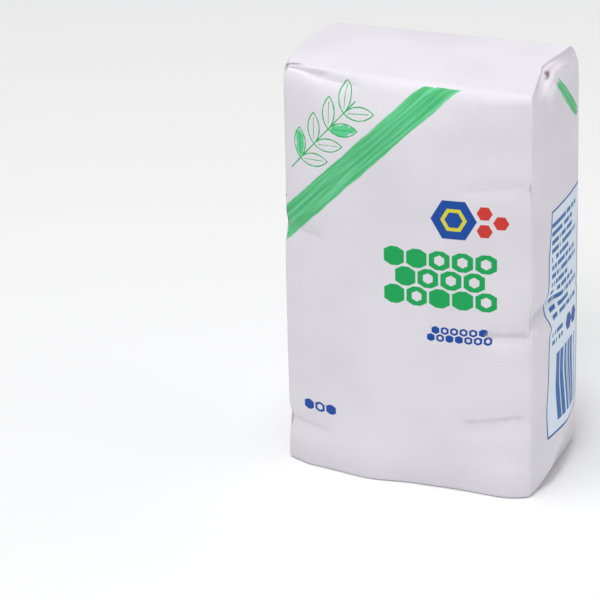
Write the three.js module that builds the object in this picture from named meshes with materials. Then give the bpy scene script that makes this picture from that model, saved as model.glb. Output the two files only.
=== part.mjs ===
// Bag of sugar: a shut paper pack, filled tight, that stands on its folded base.
// Millimetres, +Z up. The origin is on the ground under the bag's middle, and the printed front faces -Y.
//
// The surface is one grid over a box. A place on it is u from left to right, v from front to back
// and a row that climbs from the base to the top. Rows follow the folds, so that each fold is an edge.

import * as THREE from "three";

// The box that the bag's folds make
const WIDTH = 106.4;
const DEPTH = 57.5;
const HEIGHT = 175;
const FRONT = -DEPTH / 2;
const REAR = DEPTH / 2;

// The box is out of square: the right side stands out, as [y, out],
// and so does the front left corner low down, as [height, out]
const RIGHT_OUT = [[FRONT, 0.8], [REAR, 0.3]];
const LEFT_CORNER_OUT = [[0, 0.9], [95, 0.9], [125, 0], [HEIGHT, 0]];

// How far the sugar pushes each panel out of that box
const FRONT_SWELL = 8;
const BACK_SWELL = 6;
const LEFT_SWELL = 3;
const RIGHT_SWELL = 2;
const TOP_SWELL = 0.8;
const FRONT_PEAK = 0.39;       // where across its width the front swells most
const SWELL_POWER = 2.2;       // 2 would be a parabola; more is flatter in the middle
const RIM_SHARE = 0.25;        // of the right swell, left where the side meets the top flap

// Shares of the swell at heights up the bag, as [height, share]
const PANEL_SWELL_UP = [
  [0, 0.55], [20, 0.8], [40, 0.96], [60, 1], [124, 1], [136, 0.97], [144, 0.92], [150, 0.86],
  [154, 0.81], [158, 0.73], [162, 0.6], [166, 0.43], [171, 0.18], [HEIGHT, 0.03],
];
const LEFT_SWELL_UP = [[0, 0.3], [60, 0.9], [130, 1], [HEIGHT, 0.85]];
const RIGHT_SWELL_UP = [[0, 0.3], [60, 1], [110, 0.9], [HEIGHT, 0.25]];

// The foot of the front panel waves in and out, as [u, out], up to where the swell takes over
const FRONT_FOOT = [
  [0, 0.5], [0.11, 5], [0.37, 8.4], [0.54, 5.6], [0.72, 4.7], [0.9, 5.3], [0.96, 4.4], [1, 1.2],
];
const FOOT_HEIGHT = 34;

// Rounding of the folds
const CORNER_RADIUS = 1.2;     // up the four corners
const BASE_RADIUS = 1.5;       // round the base
const BASE_CORNER_EXTRA = 2;   // more at the rear corners of the base
const BACK_EDGE = 4;           // where the back turns into the top
const FRONT_EDGE = [[0, 1.4], [0.2, 4], [0.85, 5], [1, 2.4]];  // and the front, as [u, radius]

// The top flap ends short of the right side. The inset of its edge, as [y, inset]
const FLAP_INSET = [
  [FRONT, 0.8], [-26.4, 1.2], [-12.4, 3.9], [-3.4, 5.4], [2.4, 7.2],
  [7, 6.8], [11.7, 5.9], [18, 4.3], [REAR, 2.6],
];
const FLAP_THICKNESS = 1;      // glued layers that stand over what they cover
const LEFT_INSET = 1;
const REAR_LIFT = 0.9;         // the top climbs to the rear
const RIGHT_LIFT = 2.7;        // and more to the rear right corner
const LEFT_CROWN = 1.1;        // the left edge of the top is bowed
const LEFT_LIFT = 0.5;         // and lies a little higher than the right

// Upper fold of the right side, as [y, z]: a low strip in front, then a dome that falls to the rear
const RIGHT_SHOULDER = [
  [FRONT, 171.5], [-13.5, 169.8], [-7, 173.4], [-2, 174.2], [3, 175.2], [10, 175], [18, 172.4], [REAR, 171],
];
// How far that fold leans in, as [y, inset], and over what height
const SHOULDER_LEAN = [
  [FRONT, 0], [-13.5, 0.2], [-7, 1.5], [-2, 1.1], [3, 2.4], [10, 1.7], [18, 1.6], [REAR, 0.2],
];
const LEAN_HEIGHT = 7;

const LEFT_SHOULDER = [[FRONT, 173.5], [0, 173], [REAR, 172]];

// The upper folds of the front and the back, as [u, z]
const FRONT_SHOULDER = [
  [0, 173.5], [0.2, 170.5], [0.55, 170.2], [0.7, 168.6], [0.85, 169.4], [1, 171.5],
];
const BACK_SHOULDER = [[0, 172], [0.5, 172.5], [1, 171]];

// The gap between the lip of the dome and the flap, as [y, depth]
const SLIT_DEPTH = [[FRONT, 0], [-5, 0.3], [-1.5, 4.6], [2, 5.6], [5, 1.4], [16, 0.3], [REAR, 0]];
const SLIT_PLACE = 0.5;        // how far from lip to flap the gap is deepest
const SLIT_REACH = 0.2;

// Slanting fold low on each side, as [y, z]. It stands out, and the base is tucked in below it, by [y, inset]
const SIDE_RIDGE = [[FRONT, 2.8], [-22, 3.8], [-14.5, 7], [-6, 12.5], [2.7, 18.5], [15, 22], [REAR, 24]];
const RIDGE_OUT = 2.8;
const RIDGE_FADE = 24;         // the height above it where the side is plain again
const RIDGE_START = 0.25;      // share of the depth over which it grows from the front corner
const RIDGE_END = 0.4;         // and over which it is lost before the rear one
const BASE_TUCK = [[FRONT, 0], [-15, 0.2], [0, 1.1], [REAR, 1]];

// The row of the grid that follows that fold, on the front and on the back, as [u, z]
const FRONT_RIDGE = [[0, 2.8], [0.15, 9], [0.5, 11], [0.85, 9], [1, 2.8]];
const BACK_RIDGE = [[0, 24], [0.5, 14], [1, 24]];

// Creases and dents: a path over the surface, how deep it is (bumps are negative) and its half width
const CREASES = [
  // Top left corner: a fold and the dent beside it
  { path: [[-53, -27.5, 175], [-45, -28.5, 174.2], [-33, -28.5, 173]], deep: 1, half: 2.6 },
  { path: [[-32, -29.5, 170], [-25, -29.5, 171]], deep: 0.6, half: 4 },
  // Top right corner: slack in the front and the side, and a nick in the upright fold
  { path: [[28, -33, 150], [48, -30, 154]], deep: 0.5, half: 9 },
  { path: [[54.5, -9.5, 169], [55, -4, 171.5]], deep: -1.3, half: 2.6 },
  { path: [[52, -29, 134], [53.5, -26, 128]], deep: 0.9, half: 4 },
  // Half way up on the left
  { path: [[-51, -29, 107], [-42, -32, 104]], deep: 0.6, half: 4 },
  // The kink in the right fold, and the bump under it
  { path: [[36, -32, 72.5], [49, -30, 73.5], [54, FRONT, 80], [55, -6, 80]], deep: 0.9, half: 3.6 },
  { path: [[38, -33, 64], [50, -30, 66], [54, -26, 70], [55, -12, 67]], deep: -0.5, half: 5 },
  // Low on the right and on the left
  { path: [[27, -34, 30], [40, -33, 32], [52, -29, 36]], deep: 0.7, half: 4 },
  { path: [[30, -34, 22], [48, -30, 26]], deep: -0.5, half: 6 },
  { path: [[-52, -29, 17], [-40, -33, 18]], deep: 0.8, half: 4 },
  // The back and the left side
  { path: [[-30, 32, 60], [20, 34, 66]], deep: 0.8, half: 5 },
  { path: [[-53, -20, 92], [-54, 16, 84]], deep: 1.0, half: 5 },
];

// Steps of the grid, closer together at the folds
const ACROSS = [
  0, 0.0057, 0.0113, 0.05, 0.09, 0.13, 0.17, 0.21, 0.25, 0.29, 0.33, 0.37, 0.42, 0.47, 0.52, 0.57,
  0.62, 0.66, 0.7, 0.74, 0.78, 0.82, 0.86, 0.9, 0.94, 0.9887, 0.9943, 1,
];
const BACKWARD = [
  0, 0.0104, 0.0209, 0.14, 0.265, 0.33, 0.4, 0.46, 0.535, 0.6, 0.7, 0.77, 0.84, 0.9, 0.9791, 0.9896, 1,
];
const BASE_STEPS = 2;
const LOW_STEPS = 3;
const WALL_STEPS = 44;
const TOP_STEPS = [0.12, 0.3, 0.5, 0.7, 0.94, 1];

const mix = (a, b, t) => a + (b - a) * t;
const clamp = (x, low, high) => Math.min(high, Math.max(low, x));
const ease = (t) => t * t * (3 - 2 * t);

// The value at a place in a list of [place, value], along straight lines or smooth ones
function lookUp(list, place, smooth = false) {
  const passed = list.filter((pair) => pair[0] < place).length;
  const next = clamp(passed, 1, list.length - 1);
  const [from, to] = [list[next - 1], list[next]];
  const t = clamp((place - from[0]) / (to[0] - from[0]), 0, 1);
  return mix(from[1], to[1], smooth ? ease(t) : t);
}

// 1 where a panel swells most, 0 at its two folds
function arch(t, peak = 0.5) {
  const s = t < peak ? (peak - t) / peak : (t - peak) / (1 - peak);
  return 1 - s ** SWELL_POWER;
}

// A height that differs on the four walls, at a place on the outline
function onWalls(u, v, front, right, back, left) {
  const y = (v - 0.5) * DEPTH;
  if (v === 0) return lookUp(front, u, true);
  if (v === 1) return lookUp(back, u, true);
  return lookUp(u === 1 ? right : left, y);
}

const ridgeHeight = (u, v) => onWalls(u, v, FRONT_RIDGE, SIDE_RIDGE, BACK_RIDGE, SIDE_RIDGE);
const shoulderHeight = (u, v) => onWalls(u, v, FRONT_SHOULDER, RIGHT_SHOULDER, BACK_SHOULDER, LEFT_SHOULDER);

// The height of the top flap's edge
function rimHeight(u, v) {
  return HEIGHT + v * (REAR_LIFT + RIGHT_LIFT * u) + (1 - u) ** 2 * (LEFT_CROWN * arch(v) + LEFT_LIFT);
}

// How far a side stands out at its slanting fold, or in at its tucked base.
// The fold starts behind the front corner and is gone before the rear one
function ridgeOut(v, z) {
  const y = (v - 0.5) * DEPTH;
  const ridge = lookUp(SIDE_RIDGE, y);
  const below = clamp(1 - z / ridge, 0, 1);
  const above = clamp((z - ridge) / RIDGE_FADE, 0, 1);
  const behindFront = ease(clamp(v / RIDGE_START, 0, 1));
  const beforeRear = ease(clamp((1 - v) / RIDGE_END, 0, 1));
  return RIDGE_OUT * (1 - below) * (1 - above) * behindFront * beforeRear - lookUp(BASE_TUCK, y) * below;
}

// How far the right side leans in below its upper fold
function lean(v, z) {
  const y = (v - 0.5) * DEPTH;
  const start = lookUp(RIGHT_SHOULDER, y) - LEAN_HEIGHT;
  return lookUp(SHOULDER_LEAN, y) * ease(clamp((z - start) / LEAN_HEIGHT, 0, 1));
}

// x, y of a place on a level outline whose four walls stand in from the folded box by these insets
function level(u, v, z, inset) {
  const up = lookUp(PANEL_SWELL_UP, z);
  const leftSwell = LEFT_SWELL * arch(v) * lookUp(LEFT_SWELL_UP, z, true);
  const rightSwell = RIGHT_SWELL * arch(v) * lookUp(RIGHT_SWELL_UP, z, true) * inset.rightShare;
  const frontSwell = FRONT_SWELL * up * arch(u, FRONT_PEAK);
  const rightOut = lookUp(RIGHT_OUT, (v - 0.5) * DEPTH);
  const leftOut = lookUp(LEFT_CORNER_OUT, z) * (1 - v);
  const left = -WIDTH / 2 - leftOut + inset.left - leftSwell - ridgeOut(v, z);
  const right = WIDTH / 2 + rightOut - inset.right + rightSwell + ridgeOut(v, z) - lean(v, z);
  const footShare = Math.sin(clamp(z / FOOT_HEIGHT, 0, 1) * Math.PI / 2);
  const front = -DEPTH / 2 + inset.front - mix(lookUp(FRONT_FOOT, u, true), frontSwell, footShare);
  const back = DEPTH / 2 - inset.back + BACK_SWELL * up * arch(u);
  return new THREE.Vector3(mix(left, right, u), mix(front, back, v), z);
}

// Rounds the four upright corners
function roundCorner(point, u, v) {
  const fromLeft = u * WIDTH;
  const fromFront = v * DEPTH;
  const dx = Math.max(0, CORNER_RADIUS - Math.min(fromLeft, WIDTH - fromLeft));
  const dy = Math.max(0, CORNER_RADIUS - Math.min(fromFront, DEPTH - fromFront));
  if (dx === 0 || dy === 0 || (u > 0 && u < 1 && v > 0 && v < 1)) return point;
  const pull = CORNER_RADIUS / Math.hypot(dx, dy);
  point.x += Math.sign(0.5 - u) * dx * (1 - pull);
  point.y += Math.sign(0.5 - v) * dy * (1 - pull);
  return point;
}

const even = (inset) => ({ left: inset, right: inset, front: inset, back: inset, rightShare: 1 });

// A place on the base, or on the quarter turn from it to the walls, where turn is 1
function basePlace(u, v, turn) {
  const radius = BASE_RADIUS + BASE_CORNER_EXTRA * v ** 4 * (2 * u - 1) ** 4;
  const angle = turn * Math.PI / 2;
  const z = radius * (1 - Math.cos(angle));
  return level(u, v, z, even(radius * (1 - Math.sin(angle))));
}

// A place between the top of the walls, at climb 0, and the rim of the top flap, at climb 1
function topPlace(u, v, climb) {
  const y = (v - 0.5) * DEPTH;
  const angle = climb * Math.PI / 2;
  const shoulder = shoulderHeight(u, v);
  const round = 1 - Math.cos(angle);
  const onRight = u === 1 && v > 0;
  const inset = {
    left: LEFT_INSET * round,
    right: (lookUp(FLAP_INSET, y) - lookUp(SHOULDER_LEAN, y)) * (v === 0 ? round : climb),
    front: lookUp(FRONT_EDGE, u) * round,
    back: BACK_EDGE * round,
    rightShare: mix(1, RIM_SHARE, climb),
  };
  const rise = onRight ? climb : Math.sin(angle);
  let z = mix(shoulder, rimHeight(u, v), rise);
  if (onRight) {
    z -= lookUp(SLIT_DEPTH, y) * Math.max(0, 1 - Math.abs(climb - SLIT_PLACE) / SLIT_REACH);
    z -= climb < 1 ? FLAP_THICKNESS * climb : 0;
  }
  return level(u, v, z, inset);
}

// A place on the flap that covers the top
function flapPlace(u, v) {
  const place = topPlace(u, v, 1);
  place.z = rimHeight(u, v) + TOP_SWELL * arch(u) * arch(v);
  return place;
}

// Distance from a point to a path of straight pieces
function distanceTo(path, point) {
  const nearest = new THREE.Vector3();
  let distance = Infinity;
  for (let i = 1; i < path.length; i += 1) {
    const piece = new THREE.Line3(new THREE.Vector3(...path[i - 1]), new THREE.Vector3(...path[i]));
    piece.closestPointToPoint(point, true, nearest);
    distance = Math.min(distance, nearest.distanceTo(point));
  }
  return distance;
}

// Pushes a point in by the creases near it, level with the ground and towards the middle of the bag
function crease(point, u, v) {
  const inward = new THREE.Vector3(0, 0, 0);
  if (v === 0 || v === 1) inward.y = 0.5 - v;
  if (u === 0 || u === 1) inward.x = 0.5 - u;
  if (inward.lengthSq() === 0) return point;
  let depth = 0;
  for (const { path, deep, half } of CREASES) {
    depth += deep * Math.exp(-((distanceTo(path, point) / half) ** 2));
  }
  return point.addScaledVector(inward.normalize(), depth);
}

// The outline's steps as [u, v], anticlockwise from the front left corner
function outline() {
  const front = ACROSS.map((u) => [u, 0]);
  const right = BACKWARD.map((v) => [1, v]);
  const back = ACROSS.toReversed().map((u) => [u, 1]);
  const left = BACKWARD.toReversed().map((v) => [0, v]);
  return [front, right, back, left].flatMap((side) => side.slice(0, -1));
}

// One row of points round the bag for each step from the base to the rim
function rows() {
  const steps = [];
  for (let i = 0; i <= BASE_STEPS; i += 1) {
    steps.push((u, v) => basePlace(u, v, i / BASE_STEPS));
  }
  for (let i = 1; i <= LOW_STEPS; i += 1) {
    steps.push((u, v) => {
      const foot = basePlace(u, v, 1).z;
      return level(u, v, mix(foot, Math.max(ridgeHeight(u, v), foot + 1), i / LOW_STEPS), even(0));
    });
  }
  for (let i = 1; i <= WALL_STEPS; i += 1) {
    steps.push((u, v) => {
      const ridge = Math.max(ridgeHeight(u, v), basePlace(u, v, 1).z + 1);
      return level(u, v, mix(ridge, shoulderHeight(u, v), i / WALL_STEPS), even(0));
    });
  }
  for (const climb of TOP_STEPS) {
    steps.push((u, v) => topPlace(u, v, climb));
  }
  return steps;
}

// The whole surface as one closed mesh
function bagGeometry() {
  const positions = [];
  const triangles = [];
  const ring = outline();
  const put = (point) => positions.push(point.x, point.y, point.z) / 3 - 1;
  const quad = (a, b, c, d) => triangles.push(a, b, c, a, c, d);

  const walls = rows().map((step) => ring.map(([u, v]) => {
    return put(crease(roundCorner(step(u, v), u, v), u, v));
  }));
  for (let row = 1; row < walls.length; row += 1) {
    for (let i = 0; i < ring.length; i += 1) {
      const next = (i + 1) % ring.length;
      quad(walls[row - 1][i], walls[row - 1][next], walls[row][next], walls[row][i]);
    }
  }

  const closeWith = (edge, place, facingUp) => {
    const onEdge = new Map(ring.map(([u, v], i) => [`${u} ${v}`, edge[i]]));
    const grid = BACKWARD.map((v) => ACROSS.map((u) => onEdge.get(`${u} ${v}`) ?? put(place(u, v))));
    for (let j = 1; j < BACKWARD.length; j += 1) {
      for (let i = 1; i < ACROSS.length; i += 1) {
        const corners = [grid[j - 1][i - 1], grid[j - 1][i], grid[j][i], grid[j][i - 1]];
        quad(...(facingUp ? corners : corners.reverse()));
      }
    }
  };
  closeWith(walls[0], (u, v) => basePlace(u, v, 0), false);
  closeWith(walls.at(-1), flapPlace, true);

  const geometry = new THREE.BufferGeometry();
  geometry.setAttribute("position", new THREE.Float32BufferAttribute(positions, 3));
  geometry.setIndex(triangles);
  geometry.computeVertexNormals();
  return geometry;
}

// The panels swell by different amounts, so the middle of the bag is off the middle of its folded box
const OFF_CENTRE = { x: (RIGHT_SWELL - LEFT_SWELL) / 2, y: (BACK_SWELL - FRONT_SWELL) / 2 };

const paper = new THREE.MeshStandardMaterial({ color: 0xebe8ec, roughness: 0.6, metalness: 0 });
const bag = new THREE.Mesh(bagGeometry(), paper);
bag.name = "bag";
bag.position.set(-OFF_CENTRE.x, -OFF_CENTRE.y, 0);

const sugarBag = new THREE.Group();
sugarBag.add(bag);

export default sugarBag;
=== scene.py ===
"""A shut paper bag of sugar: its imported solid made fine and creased, in printed paper, on a pale floor.

Lengths are millimetres unless a name or comment says metres. X runs to the right, Y to the rear and Z up.
"""

import math

import bmesh
import bpy
import numpy as np
from mathutils import Matrix, Vector, noise


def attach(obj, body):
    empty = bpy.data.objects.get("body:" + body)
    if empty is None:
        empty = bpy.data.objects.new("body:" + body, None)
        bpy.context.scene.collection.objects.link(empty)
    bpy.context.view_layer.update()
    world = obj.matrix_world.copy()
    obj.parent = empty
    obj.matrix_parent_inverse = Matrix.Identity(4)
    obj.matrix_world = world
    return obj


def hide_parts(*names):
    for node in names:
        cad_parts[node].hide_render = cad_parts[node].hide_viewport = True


MM = 0.001

# The folded box, which the print is laid out on, and the place of its middle in the frame
WIDTH = 106.4
DEPTH = 57.5
MIDDLE = (0.5, 1.0)
SHEET = 330.0                  # one unit of the UV map
TOP_START = 190.0              # where the top, the tucked end and the base lie, clear of the walls
TUCK_START = 255.0
BASE_START = 170.0

# The top flap's edge over the tucked right end, as y and x in the folded box
FLAP_EDGE_Y = (-28.8, -12.4, -3.4, 2.4, 7.0, 11.7, 18.0, 28.8)
FLAP_EDGE_X = (52.9, 49.9, 48.3, 46.4, 46.8, 47.7, 49.2, 51.0)
TUCK_LOW = 168.0
WALL_X = 51.6                  # the side wall is beyond this, and the steep edge of the flap is not
CAP_Y = 7.0                    # the rear part of the tucked end starts here, and the painted shade under the flap with it
CAP_BLEND = 6.0
GAP_PLACE = (49.2, 0.6)        # x and y of the gap in the tucked end
GAP_SIZE = (5.6, 1.2)          # its length and its width
GAP_BLUR = 0.5
TUCK_EDGE = -DEPTH / 2 - 2.0   # y where the tucked end starts on the map, clear of the top

# How a face is told from its normal
FLAT_LEAST = 0.8               # the top and the base look up or down at least this much
TUCK_UP_LEAST = 0.35           # the tucked end looks up more than this
TUCK_REAR_MOST = 0.6           # and to the rear less than this

# Camera, in metres and degrees
CAMERA_PLACE = (0.5094, -1.2840, 0.6677)
CAMERA_YAW = 23.9
CAMERA_PITCH = -23.4
CAMERA_ROLL = -1.3
CAMERA_LENS = 217.0

# Lamps: name, place and size in metres, and watts. All aim at one place low in the bag
LAMPS = [
    ("overhead", (-0.2, -0.3, 2.4), 1.2, 29.5),
    ("front", (0.2, -1.6, 1.95), 1.0, 18.5),
    ("side", (2.4, 0.3, 0.8), 1.2, 7.4),
    ("rear", (1.3, 1.4, 1.8), 1.2, 3.7),
]
LAMP_AIM = (0.0, 0.0, 0.08)
SKY_COLOUR = (0.97, 0.97, 1.0, 1.0)
SKY_STRENGTH = 0.27

# Floor
FLOOR_REACH = 6.0              # metres from the middle to each side
FLOOR_COLOUR = (250, 250, 250)
FLOOR_ROUGHNESS = 0.9

# Paper and inks, and the painted shade and highlight, as sRGB
PAPER = (233, 230, 236)
PAPER_GREY = (226, 223, 230)
# Painted shade low on the walls, near the floor
FOOT_SHADE = (198, 196, 204)
INNER_PAPER = (227, 219, 227)
# Painted shade on the rear of the tucked end under the flap, and painted shadow in its gap
CAP_SHADE = (220, 214, 224)
GAP_SHADE = (150, 124, 132)
# Painted highlight on ridges and painted shade in creases
RIDGE_HIGHLIGHT = (250, 248, 252)
CREASE_SHADE = (186, 180, 192)
GREEN_DEEP = (0, 180, 94)
GREEN_LIGHT = (96, 212, 148)
GREEN_COMB = (0, 168, 86)
BLUE = (0, 73, 163)
BLUE_DASHES = (42, 104, 172)
BLUE_TINT = (226, 238, 250)
RED = (212, 54, 46)
YELLOW = (224, 217, 40)

# Creases in the paper: the path over the surface, the depth (ridges are negative),
# and how far it reaches to the left of the path and to its right
CREASES = [
    # The kink in the right fold: a valley on the front and one on the side, and the ridge under them
    dict(
        path=[(32, -31, 71), (42, -30.4, 71.4), (50.5, -29.3, 72), (57, -27.8, 73)],
        depth=2.2, left=3.8, right=4.0,
    ),
    dict(
        path=[(54, -28.5, 76.5), (54.8, -20, 79), (55, -8, 79.5), (55.5, 4, 79)],
        depth=1.9, left=2.8, right=5.0,
    ),
    dict(
        path=[(53, -28.5, 75), (54.2, -26, 72.8), (55, -12, 69), (55.5, -2, 68)],
        depth=-0.9, left=3.0, right=1.6,
    ),
    # Low on the right and on the left
    dict(
        path=[(22, -32, 30.5), (40, -30, 33.5), (56, -27, 36.5)],
        depth=1.5, left=3.4, right=4.4,
    ),
    dict(
        path=[(-62, -27, 21.5), (-46, -29.5, 18.5), (-28, -31, 17.5)],
        depth=1.1, left=3.2, right=4.4,
    ),
    # Soft ridges across the low front
    dict(
        path=[(-44, -32, 30), (-15, -34, 36), (-5, -34, 36.5)],
        depth=-0.35, left=3.8, right=3.8,
    ),
    dict(
        path=[(2, -34, 31), (38, -31, 40)],
        depth=-0.3, left=3.8, right=3.8,
    ),
    # The left fold's dent and the right fold's nick
    dict(
        path=[(-60, -26, 108), (-45, -30, 106), (-30, -32, 104.5)],
        depth=1.0, left=3.0, right=4.4,
    ),
    dict(
        path=[(22, -32, 132.5), (50, -27.5, 137), (57, -20, 136)],
        depth=0.9, left=3.2, right=3.2,
    ),
    # The two folds that run in from the top left corner
    dict(
        path=[(-54.5, -27, 176.3), (-50, -27.8, 175.8), (-42, -28.2, 174.8), (-32, -28.4, 174)],
        depth=1.3, left=1.5, right=3.4,
    ),
    dict(
        path=[(-46, -28.6, 174), (-38, -29, 173.2), (-28, -29.4, 171.8), (-16, -29.6, 171)],
        depth=1.2, left=3.2, right=2.2,
    ),
    # The puffed side below the tucked end
    dict(
        path=[(55, -13, 167), (56, -6, 169.5), (55.5, 0, 171.5)],
        depth=-1.0, left=3.4, right=4.0,
    ),
    # The slanting fold low on the side
    dict(
        path=[(55, -25, 2.5), (57, -14.5, 7), (58, -6, 12.5), (58.5, 5, 19)],
        depth=-0.9, left=2.4, right=2.4,
    ),
]
SHARPNESS = 1.4                # 2 would round the bottom of a crease off, 1 is a knife edge
PATH_LIFT = 4.0                # how far a path may lie off the surface that it creases
END_SHARE = 0.25               # of a crease's length, over which it fades at each end

# Slow waves and small crumples of the paper: how high, how far apart, and where in the noise
WAVES = [(0.12, 42.0, (17.3, 5.1, 9.7)), (0.05, 15.0, (34.6, 10.2, 19.4))]
CRUMPLES = (0.02, 6.0, (59.5, 18.5, 35.5))
CRUMPLE_MEAN = 0.7             # what the crumples average before this is taken off
STILL_HEIGHT = 0.5             # up to here the paper stays where the solid is
STILL_BLEND = 8.0              # and over this height above it, the creases and waves set in

# How the solid's mesh is divided, and how its folds are told
SAME_PLACE = 1e-6              # metres: vertices nearer than this are one
SHARP_FROM = 25                # degrees of bend at which a fold of the solid starts to stay sharp
SHARP_FULL = 55
SHARP_MOST = 0.75              # 1 would keep it a knife edge
FINE_LEVELS = 2
FOLD_GAIN = 12                 # a vertex that is 1/12 mm off its neighbours' mean is a full fold

# How soft the edge of a printed shape is
INK_BLUR = 0.12

# Brush strokes: their noise per millimetre along and across, and how their edges and ends break up
STREAKS = (0.03, 0.75)
STREAK_RANGE = (0.3, 0.66)     # of the noise, from pale green to deep green
BRISTLES = (0.05, 1.2)
ROUGH_EDGE = (0.12, 0.4)
EDGE_WANDER = 1.6
STROKE_CORNER = 2.0
DRY_LENGTH = 8.0               # before each end, where the bristles start to part
DRY_FULL = 9.0                 # how much further on they have parted
DRY_REACH = 7.0
DRY_LEVEL = 0.42               # of the noise, above which the paper shows between bristles
WET_BLUR = 0.4
WET_COVER = 0.93

# The sprig
STEM_MIDDLE = (18.5, 149.0)
STEM_TURN = 48.0
STEM_LENGTH = 44.0
STEM_WIDTH = 0.55
LEAF_PAIRS = 4
LEAF_PITCH = 10.0              # along the stem
LEAF_SPREAD = 44.0             # degrees from the stem
LEAF_LENGTH = 13.0
LEAF_WIDTH = 5.4
LEAF_LINE = 0.5
VEIN_LENGTH = 9.1
VEIN_WIDTH = 0.3
WASH = (0.28, 0.28)
WASH_INSET = 0.4               # how far the fill stays inside a leaf's outline
WASH_WANDER = 3.0
WASH_BLUR = 0.3
LINE_WANDER = 0.35

# The badge of hexagons
BADGE_PLACE = (76.0, 121.0)
BADGE_ACROSS = 16.5
BADGE_INNER = 8.0
BADGE_LINE = 1.5
RED_PLACES = ((88.6, 124.8), (88.6, 117.2), (95.2, 121.0))
RED_ACROSS = 5.6

# Honeycombs: middle, columns and rows, pitch, size across a cell, width of the outlines, and ink
HONEYCOMBS = [
    ((70.0, 94.5), 5, 3, 9.6, 8.7, 2.3, GREEN_COMB),
    ((78.0, 70.5), 7, 2, 3.9, 3.3, 0.9, BLUE),
    ((15.5, 28.0), 3, 1, 5.4, 4.7, 1.1, BLUE),
]
CELL_DRAW = 31.0               # which row of the random numbers settles the first row of cells
OPEN_RANGE = (0.55, 0.56)      # of a cell's chance: an outline below it, and solid above it
END_MARGIN = 0.4               # of a pitch: a cell whose middle is nearer than this to an end is left off

# The front's large stroke: its start, its end and its width
FRONT_STROKE = ((-6.0, 101.0), (76.0, 182.0), 11.0)

# The side's print: each place starts from the front left corner, so the side begins at WIDTH
FIELD_MIDDLE = (WIDTH + 35.9, 69.65)
FIELD_SIZE = (38.2, 98.7)
FIELD_LINE = 0.9
FIELD_BLUR = 0.2
# The field's leans: from which height to which, and how far to the rear
LEANS = ((96.0, 120.0, 3.2), (46.0, 20.0, -1.6))
KINK_HEIGHT = 75.5             # where the crease in the fold dents the field's edges
KINK_REACH = 5.0
KINK_DENT = 1.6
ROW_PITCH = 3.7
ROW_HALF = 1.0                 # half the height of a dash
DASH_STEP = 1.1
DASH_GAPS = (0.14, 0.2)        # the share of the steps that are gaps, and a little over it
DASH_BLUR = 0.2
ROWS_BLOCK = ((WIDTH + 35.5, 93.0), (31.0, 44.0))
SHORT_ROWS_BLOCK = ((WIDTH + 26.5, 62.5), (13.0, 7.0))
ROWS_END = WIDTH + 51.0
RAGGED_MOST = 14.0             # how much earlier a row may end, apart from every third one
RAGGED_CYCLE = 3.0
RAGGED_RANGE = (0.5, 1.5)
RAGGED_DRAW = 40.0             # which of the random numbers settle the rows' ends
BARS_BLOCK = ((WIDTH + 38.5, 39.5), (26.0, 30.0))
BAR_STEP = 0.8
BAR_GAPS = (0.42, 0.46)
BAR_BLUR = 0.15
PAIR_PLACES = ((WIDTH + 41.0, 63.0), (WIDTH + 48.6, 63.0))
PAIR_ACROSS = 7.0
SIDE_STROKE = ((WIDTH + 30.0, 171.0), (WIDTH + 54.0, 150.0), 5.0)

# The paper itself: noise per millimetre, the range of it that turns the paper greyer, and shares
CLOUDS = (0.03, 0.03)
CLOUD_RANGE = (0.35, 0.75)
FIBRES = (1.6, 0.9)
FIBRE_RANGE = (0.45, 0.9)
FOOT_SHADE_HEIGHT = 16.0             # painted shade below this height, darker towards the floor
FOOT_SHADE_SHARE = 0.4
RIDGE_RANGE = (0.3, 1.0)       # of the stored bend, over which ridges get a painted highlight
RIDGE_SHARE = 0.14
# Of the stored bend, over which creases get painted shade
CREASE_RANGE = (-0.3, -1.0)
CREASE_SHARE = 0.26
PRINT_END = TOP_START - 2.0    # the print covers the walls, up to here
CLEAR_OF_PRINT = 500.0         # how far the other panels are moved from it
ROUGH = 0.42
ROUGH_FIBRE = 0.12
ROUGH_CLOUD = 0.08
SPECULAR = 0.3
SHEEN = 0.04
SHEEN_ROUGHNESS = 0.5
RELIEF_STRENGTH = 0.25
RELIEF_HEIGHT = 0.06
RELIEF_FINE = (2.6, 2.6)
RELIEF_WIDE = (0.35, 0.35)
WIDE_SHARE = 2.0               # how much more of the wide unevenness there is than of the fine


def linear(colour):
    """An sRGB colour of 0 to 255 as the linear RGBA that a socket takes."""
    parts = [c / 255 for c in colour]
    return [c / 12.92 if c <= 0.04045 else ((c + 0.055) / 1.055) ** 2.4 for c in parts] + [1.0]


def eased(t):
    """0 to 1 on a smooth slope, for a number or an array."""
    t = np.clip(t, 0, 1)
    return t * t * (3 - 2 * t)


# The fine mesh

def fine_mesh(node):
    """The node's solid as quads, with its sharp folds kept, divided into fine faces."""
    work = bmesh.new()
    work.from_mesh(node.data)
    bmesh.ops.remove_doubles(work, verts=work.verts, dist=SAME_PLACE)
    bmesh.ops.join_triangles(
        work, faces=work.faces, angle_face_threshold=math.pi, angle_shape_threshold=math.pi
    )
    sharp = work.edges.layers.float.new("crease_edge")
    for edge in work.edges:
        bend = math.degrees(edge.calc_face_angle(0))
        edge[sharp] = SHARP_MOST * float(eased((bend - SHARP_FROM) / (SHARP_FULL - SHARP_FROM)))
    mesh = bpy.data.meshes.new("bag_paper")
    work.to_mesh(mesh)
    work.free()
    cage = bpy.data.objects.new("cage", mesh)
    bpy.context.collection.objects.link(cage)
    divide = cage.modifiers.new("fine", "SUBSURF")
    divide.levels = FINE_LEVELS
    divide.render_levels = FINE_LEVELS
    fine = bpy.data.meshes.new_from_object(cage.evaluated_get(bpy.context.evaluated_depsgraph_get()))
    bpy.data.objects.remove(cage)
    return fine


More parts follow.
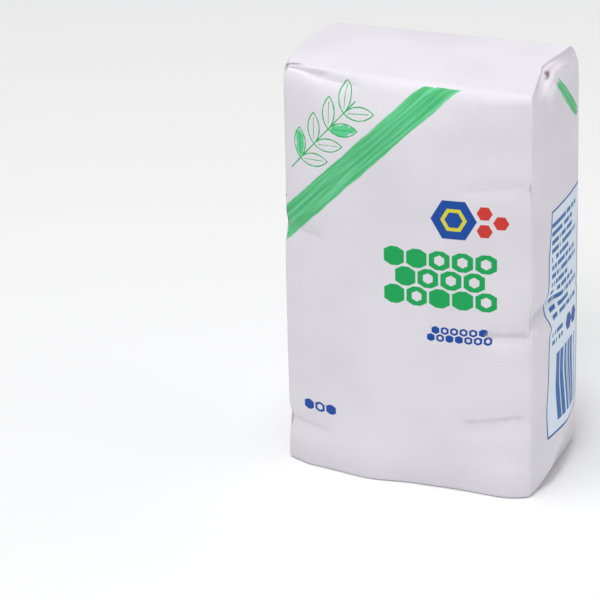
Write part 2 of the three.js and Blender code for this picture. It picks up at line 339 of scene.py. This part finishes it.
def read_vectors(items, what):
    """One vector of every item as an array."""
    flat = np.empty(len(items) * 3, dtype=np.float32)
    items.foreach_get(what, flat)
    return flat.reshape(-1, 3).astype(float)


def points_and_normals(mesh):
    """Each vertex's place in millimetres, and the way that it faces."""
    return read_vectors(mesh.vertices, "co") / MM, read_vectors(mesh.vertex_normals, "vector")


def crease_offset(points, normals, crease):
    """How far one crease moves each point along its normal."""
    path = np.array(crease["path"], float)
    steps = np.linalg.norm(np.diff(path, axis=0), axis=1)
    along_before = np.concatenate([[0], np.cumsum(steps)])
    best = np.full(len(points), np.inf)
    side = np.zeros(len(points))
    along = np.zeros(len(points))
    for start, end, step, before in zip(path[:-1], path[1:], steps, along_before):
        direction = (end - start) / step
        t = np.clip((points - start) @ direction, 0, step)
        away = points - start - t[:, None] * direction
        lift = np.einsum("ij,ij->i", away, normals)
        distance = np.linalg.norm(away - lift[:, None] * normals, axis=1)
        distance = np.where(abs(lift) < PATH_LIFT, distance, np.inf)
        left = np.einsum("ij,ij->i", away, np.cross(normals, direction))
        closer = distance < best
        best = np.where(closer, distance, best)
        side = np.where(closer, left, side)
        along = np.where(closer, before + t, along)
    reach = np.where(side > 0, crease["left"], crease["right"])
    share = along / along_before[-1]
    fade = eased(share / END_SHARE) * eased((1 - share) / END_SHARE)
    return -crease["depth"] * np.exp(-((best / reach) ** SHARPNESS)) * fade


def soft_noise(points, spacing, shift):
    """Smooth noise from -1 to 1 at every point, the same in each run."""
    return np.array([noise.noise(Vector(p) / spacing + Vector(shift)) for p in points])


def press_creases(mesh):
    """Moves the vertices by the creases, waves and crumples. The foot stays on the ground."""
    points, normals = points_and_normals(mesh)
    offset = sum(crease_offset(points, normals, crease) for crease in CREASES)
    for height, spacing, shift in WAVES:
        offset = offset + height * soft_noise(points, spacing, shift)
    height, spacing, shift = CRUMPLES
    ridges = 1 - 2 * abs(soft_noise(points, spacing, shift))
    offset = offset + height * (ridges - CRUMPLE_MEAN)
    offset = offset * eased((points[:, 2] - STILL_HEIGHT) / STILL_BLEND)
    points = points + normals * offset[:, None]
    mesh.vertices.foreach_set("co", (points * MM).astype(np.float32).ravel())
    mesh.update()


def neighbour_mean(values, one_end, other_end):
    """For each vertex, the mean of what the vertices have that an edge joins to it."""
    total = np.zeros_like(values)
    count = np.zeros(len(values))
    for here, there in ((one_end, other_end), (other_end, one_end)):
        np.add.at(total, here, values[there])
        np.add.at(count, here, 1)
    return (total.T / count).T


def mark_folds(mesh):
    """Stores how sharply the surface bends at each vertex: above 0 on ridges, below it in creases."""
    points, normals = points_and_normals(mesh)
    ends = np.empty(len(mesh.edges) * 2, dtype=np.int32)
    mesh.edges.foreach_get("vertices", ends)
    ends = ends.reshape(-1, 2).T
    bend = np.einsum("ij,ij->i", points - neighbour_mean(points, *ends), normals)
    bend = (bend + neighbour_mean(bend, *ends)) / 2
    layer = mesh.attributes.new("fold", "FLOAT", "POINT")
    layer.data.foreach_set("value", np.clip(bend * FOLD_GAIN, -1, 1).astype(np.float32))


def lay_out(mesh):
    """UV map of the unrolled paper: round the four walls from the front left corner, then top and base."""
    points = read_vectors(mesh.vertices, "co") / MM
    x = points[:, 0] - MIDDLE[0]
    y = points[:, 1] - MIDDLE[1]
    z = points[:, 2]
    over_edge = z + np.maximum(0, y + DEPTH / 2)
    beyond_flap = x - np.interp(y, FLAP_EDGE_Y, FLAP_EDGE_X)
    places = {
        "front": (x + WIDTH / 2, over_edge),
        "right": (WIDTH + y + DEPTH / 2, z),
        "back": (WIDTH + DEPTH + WIDTH / 2 - x, z),
        "left": (2 * WIDTH + DEPTH + DEPTH / 2 - y, z),
        "top": (x + WIDTH / 2, TOP_START + y + DEPTH / 2),
        "tuck": (x + WIDTH / 2, TUCK_START + y + DEPTH / 2),
        "base": (BASE_START + x + WIDTH / 2, TOP_START + y + DEPTH / 2),
    }
    layer = mesh.uv_layers.new(name="paper")
    for face in mesh.polygons:
        nx, ny, nz = face.normal
        vertex = face.vertices[0]
        on_end = z[vertex] > TUCK_LOW and beyond_flap[vertex] > 0
        open_up = nz > TUCK_UP_LEAST or x[vertex] < WALL_X
        if on_end and open_up and ny < TUCK_REAR_MOST:
            panel = "tuck"
        elif nz > FLAT_LEAST:
            panel = "top"
        elif nz < -FLAT_LEAST:
            panel = "base"
        elif abs(nx) > abs(ny):
            panel = "right" if nx > 0 else "left"
        else:
            panel = "back" if ny > 0 else "front"
        across, up = places[panel]
        for loop in face.loop_indices:
            vertex = mesh.loops[loop].vertex_index
            layer.data[loop].uv = (across[vertex] / SHEET, up[vertex] / SHEET)


# Arithmetic on the paper's places, as shader nodes

class Field:
    """A number at every place on the paper."""

    def __init__(self, tree, socket):
        self.tree = tree
        self.socket = socket

    def math(self, operation, *values):
        node = self.tree.nodes.new("ShaderNodeMath")
        node.operation = operation
        for slot, value in zip(node.inputs, values):
            feed(self.tree, slot, value)
        return Field(self.tree, node.outputs[0])

    def __add__(self, other):
        return self.math("ADD", self, other)

    def __sub__(self, other):
        return self.math("SUBTRACT", self, other)

    def __rsub__(self, other):
        return self.math("SUBTRACT", other, self)

    def __mul__(self, other):
        return self.math("MULTIPLY", self, other)

    def __truediv__(self, other):
        return self.math("DIVIDE", self, other)

    def __abs__(self):
        return self.math("ABSOLUTE", self)

    def least(self, other):
        return self.math("MINIMUM", self, other)

    def most(self, other):
        return self.math("MAXIMUM", self, other)

    def floor(self):
        return self.math("FLOOR", self)

    def repeat(self, length):
        return self.math("FLOORED_MODULO", self, length)

    def slope(self, start, end):
        """Eased from 0 at the start to 1 at the end, which may be the lower of the two."""
        node = self.tree.nodes.new("ShaderNodeMapRange")
        node.interpolation_type = "SMOOTHSTEP"
        self.tree.links.new(self.socket, node.inputs["Value"])
        node.inputs["From Min"].default_value = min(start, end)
        node.inputs["From Max"].default_value = max(start, end)
        node.inputs["To Min"].default_value = 0.0 if start < end else 1.0
        node.inputs["To Max"].default_value = 1.0 if start < end else 0.0
        return Field(self.tree, node.outputs["Result"])


def feed(tree, slot, value):
    """Gives a node's input a field or a plain number."""
    if isinstance(value, Field):
        tree.links.new(value.socket, slot)
    else:
        slot.default_value = value


def vector(x, y, z=0.0):
    """Three fields or numbers as one vector socket."""
    node = x.tree.nodes.new("ShaderNodeCombineXYZ")
    for slot, value in zip(node.inputs, (x, y, z)):
        feed(x.tree, slot, value)
    return node.outputs[0]


def length(x, y):
    """How far a place is from where both are 0."""
    node = x.tree.nodes.new("ShaderNodeVectorMath")
    node.operation = "LENGTH"
    x.tree.links.new(vector(x, y), node.inputs[0])
    return Field(x.tree, node.outputs["Value"])


def split(tree, socket):
    """The first two parts of a vector socket."""
    parts = tree.nodes.new("ShaderNodeSeparateXYZ")
    tree.links.new(socket, parts.inputs[0])
    return Field(tree, parts.outputs[0]), Field(tree, parts.outputs[1])


def local(x, y, place, turn=0.0):
    """The two axes of a motif that sits at a place and is turned by an angle in degrees."""
    node = x.tree.nodes.new("ShaderNodeMapping")
    node.vector_type = "TEXTURE"
    node.inputs["Location"].default_value = (*place, 0.0)
    node.inputs["Rotation"].default_value = (0.0, 0.0, math.radians(turn))
    x.tree.links.new(vector(x, y), node.inputs["Vector"])
    return split(x.tree, node.outputs[0])


def grain(x, y, scale, layer, detail):
    """Soft noise from 0 to 1: its scale per millimetre along x and y, and which layer of it."""
    tree = x.tree
    node = tree.nodes.new("ShaderNodeTexNoise")
    node.noise_dimensions = "3D"
    node.inputs["Scale"].default_value = 1.0
    node.inputs["Detail"].default_value = detail
    tree.links.new(vector(x * scale[0], y * scale[1], layer), node.inputs["Vector"])
    return Field(tree, node.outputs["Fac"])


def chance(x, y):
    """A fixed random number from 0 to 1 for each pair of whole numbers."""
    tree = x.tree
    node = tree.nodes.new("ShaderNodeTexWhiteNoise")
    node.noise_dimensions = "2D"
    tree.links.new(vector(x, y), node.inputs["Vector"])
    return Field(tree, node.outputs["Value"])


# Shapes of the print. Each is a distance to the shape's edge, below 0 inside it

def rectangle(x, y, width, height, corner=0.0):
    dx = abs(x) - (width / 2 - corner)
    dy = abs(y) - (height / 2 - corner)
    return length(dx.most(0.0), dy.most(0.0)) - corner + dx.most(dy).least(0.0)


def block(x, y, middle, size):
    """An upright rectangle at a place."""
    return rectangle(x - middle[0], y - middle[1], *size)


def hexagon(x, y, across):
    x, y = abs(x), abs(y)
    return (x * math.cos(math.radians(30)) + y * 0.5).most(y) - across / 2


def hexagons(x, y, places, across):
    """Hexagons of one size, as one shape."""
    shapes = [hexagon(*local(x, y, place), across) for place in places]
    together = shapes[0]
    for shape in shapes[1:]:
        together = together.least(shape)
    return together


def leaf(x, y, long, wide):
    """Two arcs that meet in a point at each end."""
    radius = (long * long + wide * wide) / (4 * wide)
    return length(x, abs(y) + (radius - wide / 2)) - radius


def line(distance, width):
    """A line along a shape's edge."""
    return abs(distance) - width / 2


def inked(distance, blur=INK_BLUR):
    """1 inside a shape and 0 outside, with the soft edge that ink has."""
    return distance.slope(blur, -blur)


def paint(colour, ink, mask):
    """Lays an ink over a colour where the mask is 1. Both are sockets or sRGB colours."""
    tree = mask.tree
    node = tree.nodes.new("ShaderNodeMix")
    node.data_type = "RGBA"
    tree.links.new(mask.socket, node.inputs["Factor"])
    for slot, value in ((node.inputs[6], colour), (node.inputs[7], ink)):
        if isinstance(value, bpy.types.NodeSocket):
            tree.links.new(value, slot)
        else:
            slot.default_value = linear(value)
    return node.outputs[2]


# The print

def brush(colour, x, y, start, end, width):
    """A straight green stroke of a wide wet brush, paler in long streaks and broken up at its ends."""
    run = math.dist(start, end)
    turn = math.degrees(math.atan2(end[1] - start[1], end[0] - start[0]))
    middle = ((start[0] + end[0]) / 2, (start[1] + end[1]) / 2)
    along, across = local(x, y, middle, turn)
    bristle = grain(along, across, BRISTLES, layer=4.0, detail=2.0)
    rough = grain(along, across, ROUGH_EDGE, layer=7.0, detail=2.0)
    ends = (abs(along) - (run / 2 - DRY_LENGTH)).slope(0.0, DRY_FULL)
    edge = rectangle(along, across, run, width, STROKE_CORNER) + (rough - 0.5) * EDGE_WANDER
    edge = edge + (bristle - DRY_LEVEL) * ends * DRY_REACH
    streak = grain(along, across, STREAKS, layer=0.0, detail=3.0)
    tone = paint(GREEN_LIGHT, GREEN_DEEP, streak.slope(*STREAK_RANGE))
    return paint(colour, tone, inked(edge, WET_BLUR) * WET_COVER)


def sprig(colour, x, y):
    """Pairs of leaves on a stem. Two leaves are filled."""
    along, across = local(x, y, STEM_MIDDLE, STEM_TURN)
    edge = rectangle(along, across, STEM_LENGTH, STEM_WIDTH)
    filled = None
    for pair in range(LEAF_PAIRS):
        foot = (pair - (LEAF_PAIRS - 1) / 2) * LEAF_PITCH
        for side in (-1, 1):
            turn = math.radians(side * LEAF_SPREAD)
            place = (
                foot + math.cos(turn) * LEAF_LENGTH / 2,
                math.sin(turn) * LEAF_LENGTH / 2,
            )
            leaf_along, leaf_across = local(along, across, place, side * LEAF_SPREAD)
            shape = leaf(leaf_along, leaf_across, LEAF_LENGTH, LEAF_WIDTH)
            vein = rectangle(leaf_along, leaf_across, VEIN_LENGTH, VEIN_WIDTH)
            edge = edge.least(line(shape, LEAF_LINE)).least(vein)
            if (pair + side) % 4 == 1:
                filled = shape if filled is None else filled.least(shape)
    wash = grain(x, y, WASH, layer=3.0, detail=2.0) - 0.5
    colour = paint(colour, GREEN_LIGHT, inked(filled + WASH_INSET + wash * WASH_WANDER, WASH_BLUR))
    return paint(colour, GREEN_DEEP, inked(edge + wash * LINE_WANDER))


def crystal_badge(colour, x, y):
    """A blue hexagon with a yellow one in it, and three small red ones beside."""
    bx, by = local(x, y, BADGE_PLACE)
    colour = paint(colour, BLUE, inked(hexagon(bx, by, BADGE_ACROSS)))
    colour = paint(colour, YELLOW, inked(line(hexagon(bx, by, BADGE_INNER), BADGE_LINE)))
    return paint(colour, RED, inked(hexagons(x, y, RED_PLACES, RED_ACROSS)))


def honeycomb(colour, x, y, middle, columns, rows, pitch, size, stroke, ink):
    """Staggered rows of hexagons: some are solid, and some are outlines as wide as the stroke."""
    rise = pitch * math.sqrt(3) / 2
    up = y - (middle[1] - rows * rise / 2)
    row = (up / rise).floor()
    fx = x - (middle[0] - columns * pitch / 2) + row.repeat(2.0) * (pitch / 2)
    column = (fx / pitch).floor()
    cell_x = fx.repeat(pitch) - pitch / 2
    cell_y = up.repeat(rise) - rise / 2
    shape = hexagon(cell_y, cell_x, size)
    solid = chance(column, row + CELL_DRAW).slope(*OPEN_RANGE)
    outline = line(shape + stroke / 2, stroke)
    edge = outline.least(shape + (1 - solid) * size)
    off_rows = abs(up - rows * rise / 2) - rows * rise / 2
    off_columns = abs(x - cell_x - middle[0]) - (columns * pitch / 2 - pitch * END_MARGIN)
    return paint(colour, ink, inked(edge.most(off_rows).most(off_columns)))


def front_print(colour, x, y):
    colour = brush(colour, x, y, *FRONT_STROKE)
    colour = sprig(colour, x, y)
    colour = crystal_badge(colour, x, y)
    for comb in HONEYCOMBS:
        colour = honeycomb(colour, x, y, *comb)
    return colour


def small_rows(x, y):
    """Rows of small dashes, as fine print looks from a step away."""
    row = (y / ROW_PITCH).floor()
    in_row = abs(y.repeat(ROW_PITCH) - ROW_PITCH / 2) - ROW_HALF
    piece = chance((x / DASH_STEP).floor(), row)
    early = chance(row, row + RAGGED_DRAW) * RAGGED_MOST
    blocks = block(x, y, *ROWS_BLOCK).least(block(x, y, *SHORT_ROWS_BLOCK))
    late = x - ROWS_END + early * row.repeat(RAGGED_CYCLE).slope(*RAGGED_RANGE)
    return inked(in_row.most(blocks).most(late), DASH_BLUR) * piece.slope(*DASH_GAPS)


def bar_pattern(x, y):
    """A block of upright bars of several widths."""
    bar = chance((x / BAR_STEP).floor(), 0.0)
    return inked(block(x, y, *BARS_BLOCK), BAR_BLUR) * bar.slope(*BAR_GAPS)


def side_field(x, y):
    """The shape of the framed field, which leans at its ends and is dented by the crease in the fold."""
    for start, end, reach in LEANS:
        x = x - y.slope(start, end) * reach
    x = x + abs(y - KINK_HEIGHT).slope(KINK_REACH, 0.0) * KINK_DENT
    return block(x, y, FIELD_MIDDLE, FIELD_SIZE)


def side_print(colour, x, y):
    field = side_field(x, y)
    colour = paint(colour, BLUE_TINT, inked(field, FIELD_BLUR))
    colour = paint(colour, BLUE, inked(line(field, FIELD_LINE)))
    colour = paint(colour, BLUE_DASHES, small_rows(x, y))
    colour = paint(colour, BLUE_DASHES, bar_pattern(x, y))
    colour = paint(colour, BLUE, inked(hexagons(x, y, PAIR_PLACES, PAIR_ACROSS)))
    return brush(colour, x, y, *SIDE_STROKE)


# The paper

def tuck_shades(colour, x, y):
    """The inner side of the paper on the tucked end, with painted shade that makes it greyer to the rear
    and a painted shadow that makes the gap dark.
    """
    on_tuck = y.slope(TUCK_EDGE, TUCK_EDGE + 1.0)
    colour = paint(colour, INNER_PAPER, on_tuck)
    # Painted shade on the rear of the tucked end, under the flap
    colour = paint(colour, CAP_SHADE, y.slope(CAP_Y, CAP_Y + CAP_BLEND) * on_tuck)
    # Painted shadow in the gap
    gap = leaf(y - GAP_PLACE[1], x - GAP_PLACE[0], *GAP_SIZE)
    return paint(colour, GAP_SHADE, inked(gap, GAP_BLUR) * on_tuck)


def paper_colour(around, up, bend, cloud, fibre):
    """Plain paper with its clouds and fibres, painted shade low down and in creases, painted highlights on
    ridges, and the print on it.
    """
    colour = paint(PAPER, PAPER_GREY, cloud.slope(*CLOUD_RANGE))
    colour = paint(colour, PAPER_GREY, fibre.slope(*FIBRE_RANGE))
    # Painted shade low on the walls, darker towards the floor
    colour = paint(colour, FOOT_SHADE, up.slope(FOOT_SHADE_HEIGHT, 0.0) * FOOT_SHADE_SHARE)
    colour = tuck_shades(colour, around - WIDTH / 2, up - TUCK_START - DEPTH / 2)
    x = around.repeat(WIDTH + DEPTH)
    on_walls = up.slope(PRINT_END, PRINT_END - 1.0)
    y = up + (1 - on_walls) * CLEAR_OF_PRINT
    colour = front_print(colour, x, y)
    colour = side_print(colour, x, y)
    # Painted highlight on ridges and painted shade in creases, from the stored bend
    colour = paint(colour, RIDGE_HIGHLIGHT, bend.slope(*RIDGE_RANGE) * RIDGE_SHARE)
    return paint(colour, CREASE_SHADE, bend.slope(*CREASE_RANGE) * CREASE_SHARE)


def paper_relief(around, up):
    """The fine unevenness of the paper, as a normal."""
    tree = around.tree
    relief = tree.nodes.new("ShaderNodeBump")
    relief.inputs["Strength"].default_value = RELIEF_STRENGTH
    relief.inputs["Distance"].default_value = RELIEF_HEIGHT * MM
    fine = grain(around, up, RELIEF_FINE, layer=5.0, detail=4.0)
    wide = grain(around, up, RELIEF_WIDE, layer=6.0, detail=2.0)
    tree.links.new((fine + wide * WIDE_SHARE).socket, relief.inputs["Height"])
    return relief.outputs[0]


def paper_material():
    material = bpy.data.materials.new("bag_paper")
    material.use_nodes = True
    tree = material.node_tree
    tree.nodes.clear()
    output = tree.nodes.new("ShaderNodeOutputMaterial")
    shader = tree.nodes.new("ShaderNodeBsdfPrincipled")
    tree.links.new(shader.outputs[0], output.inputs["Surface"])

    uv = tree.nodes.new("ShaderNodeUVMap")
    uv.uv_map = "paper"
    around, up = (part * SHEET for part in split(tree, uv.outputs[0]))
    fold = tree.nodes.new("ShaderNodeAttribute")
    fold.attribute_name = "fold"
    bend = Field(tree, fold.outputs["Fac"])
    cloud = grain(around, up, CLOUDS, layer=1.0, detail=3.0)
    fibre = grain(around, up, FIBRES, layer=2.0, detail=4.0)

    rough = fibre * ROUGH_FIBRE + cloud * ROUGH_CLOUD + ROUGH
    tree.links.new(paper_colour(around, up, bend, cloud, fibre), shader.inputs["Base Color"])
    tree.links.new(rough.socket, shader.inputs["Roughness"])
    tree.links.new(paper_relief(around, up), shader.inputs["Normal"])
    shader.inputs["Specular IOR Level"].default_value = SPECULAR
    shader.inputs["Sheen Weight"].default_value = SHEEN
    shader.inputs["Sheen Roughness"].default_value = SHEEN_ROUGHNESS
    return material


# The stage

def floor_material():
    material = bpy.data.materials.new("floor")
    material.use_nodes = True
    shader = material.node_tree.nodes["Principled BSDF"]
    shader.inputs["Base Color"].default_value = linear(FLOOR_COLOUR)
    shader.inputs["Roughness"].default_value = FLOOR_ROUGHNESS
    return material


def add_floor():
    mesh = bpy.data.meshes.new("floor")
    reach = FLOOR_REACH
    corners = [(-reach, -reach, 0), (reach, -reach, 0), (reach, reach, 0), (-reach, reach, 0)]
    mesh.from_pydata(corners, [], [(0, 1, 2, 3)])
    mesh.materials.append(floor_material())
    floor = bpy.data.objects.new("floor", mesh)
    bpy.context.collection.objects.link(floor)


def add_lamp(name, place, size, watts):
    """A round soft lamp that aims at the bag."""
    lamp = bpy.data.lights.new(name, "AREA")
    lamp.shape = "DISK"
    lamp.size = size
    lamp.energy = watts
    light = bpy.data.objects.new(name, lamp)
    light.location = place
    aim = Vector(LAMP_AIM) - Vector(place)
    light.rotation_euler = aim.to_track_quat("-Z", "Y").to_euler()
    bpy.context.collection.objects.link(light)


def add_camera():
    data = bpy.data.cameras.new("camera")
    data.lens = CAMERA_LENS
    camera = bpy.data.objects.new("camera", data)
    turn = Matrix.Rotation(math.radians(CAMERA_YAW), 4, "Z")
    tilt = Matrix.Rotation(math.radians(90 + CAMERA_PITCH), 4, "X")
    roll = Matrix.Rotation(math.radians(CAMERA_ROLL), 4, "Z")
    camera.matrix_world = Matrix.Translation(CAMERA_PLACE) @ turn @ tilt @ roll
    bpy.context.collection.objects.link(camera)
    bpy.context.scene.camera = camera


def set_stage():
    """The pale floor, the soft light and the camera."""
    scene = bpy.context.scene
    scene.view_settings.view_transform = "Standard"
    world = bpy.data.worlds.new("studio")
    world.use_nodes = True
    background = world.node_tree.nodes["Background"]
    background.inputs["Color"].default_value = SKY_COLOUR
    background.inputs["Strength"].default_value = SKY_STRENGTH
    scene.world = world
    add_floor()
    for lamp in LAMPS:
        add_lamp(*lamp)
    add_camera()


def add_bag(node):
    """The fine printed bag, which stands for the solid."""
    mesh = fine_mesh(node)
    lay_out(mesh)
    press_creases(mesh)
    mark_folds(mesh)
    mesh.materials.clear()
    mesh.materials.append(paper_material())
    mesh.polygons.foreach_set("use_smooth", [True] * len(mesh.polygons))
    bag = bpy.data.objects.new("bag_paper", mesh)
    bpy.context.collection.objects.link(bag)
    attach(bag, "root")
    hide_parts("bag")


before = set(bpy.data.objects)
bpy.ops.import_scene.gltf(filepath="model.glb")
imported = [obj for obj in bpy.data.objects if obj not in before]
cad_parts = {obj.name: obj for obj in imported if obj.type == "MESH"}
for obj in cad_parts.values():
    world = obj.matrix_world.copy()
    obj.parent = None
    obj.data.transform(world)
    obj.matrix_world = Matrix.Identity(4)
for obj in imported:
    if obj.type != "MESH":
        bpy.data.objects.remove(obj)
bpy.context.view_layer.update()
set_stage()
add_bag(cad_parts["bag"])
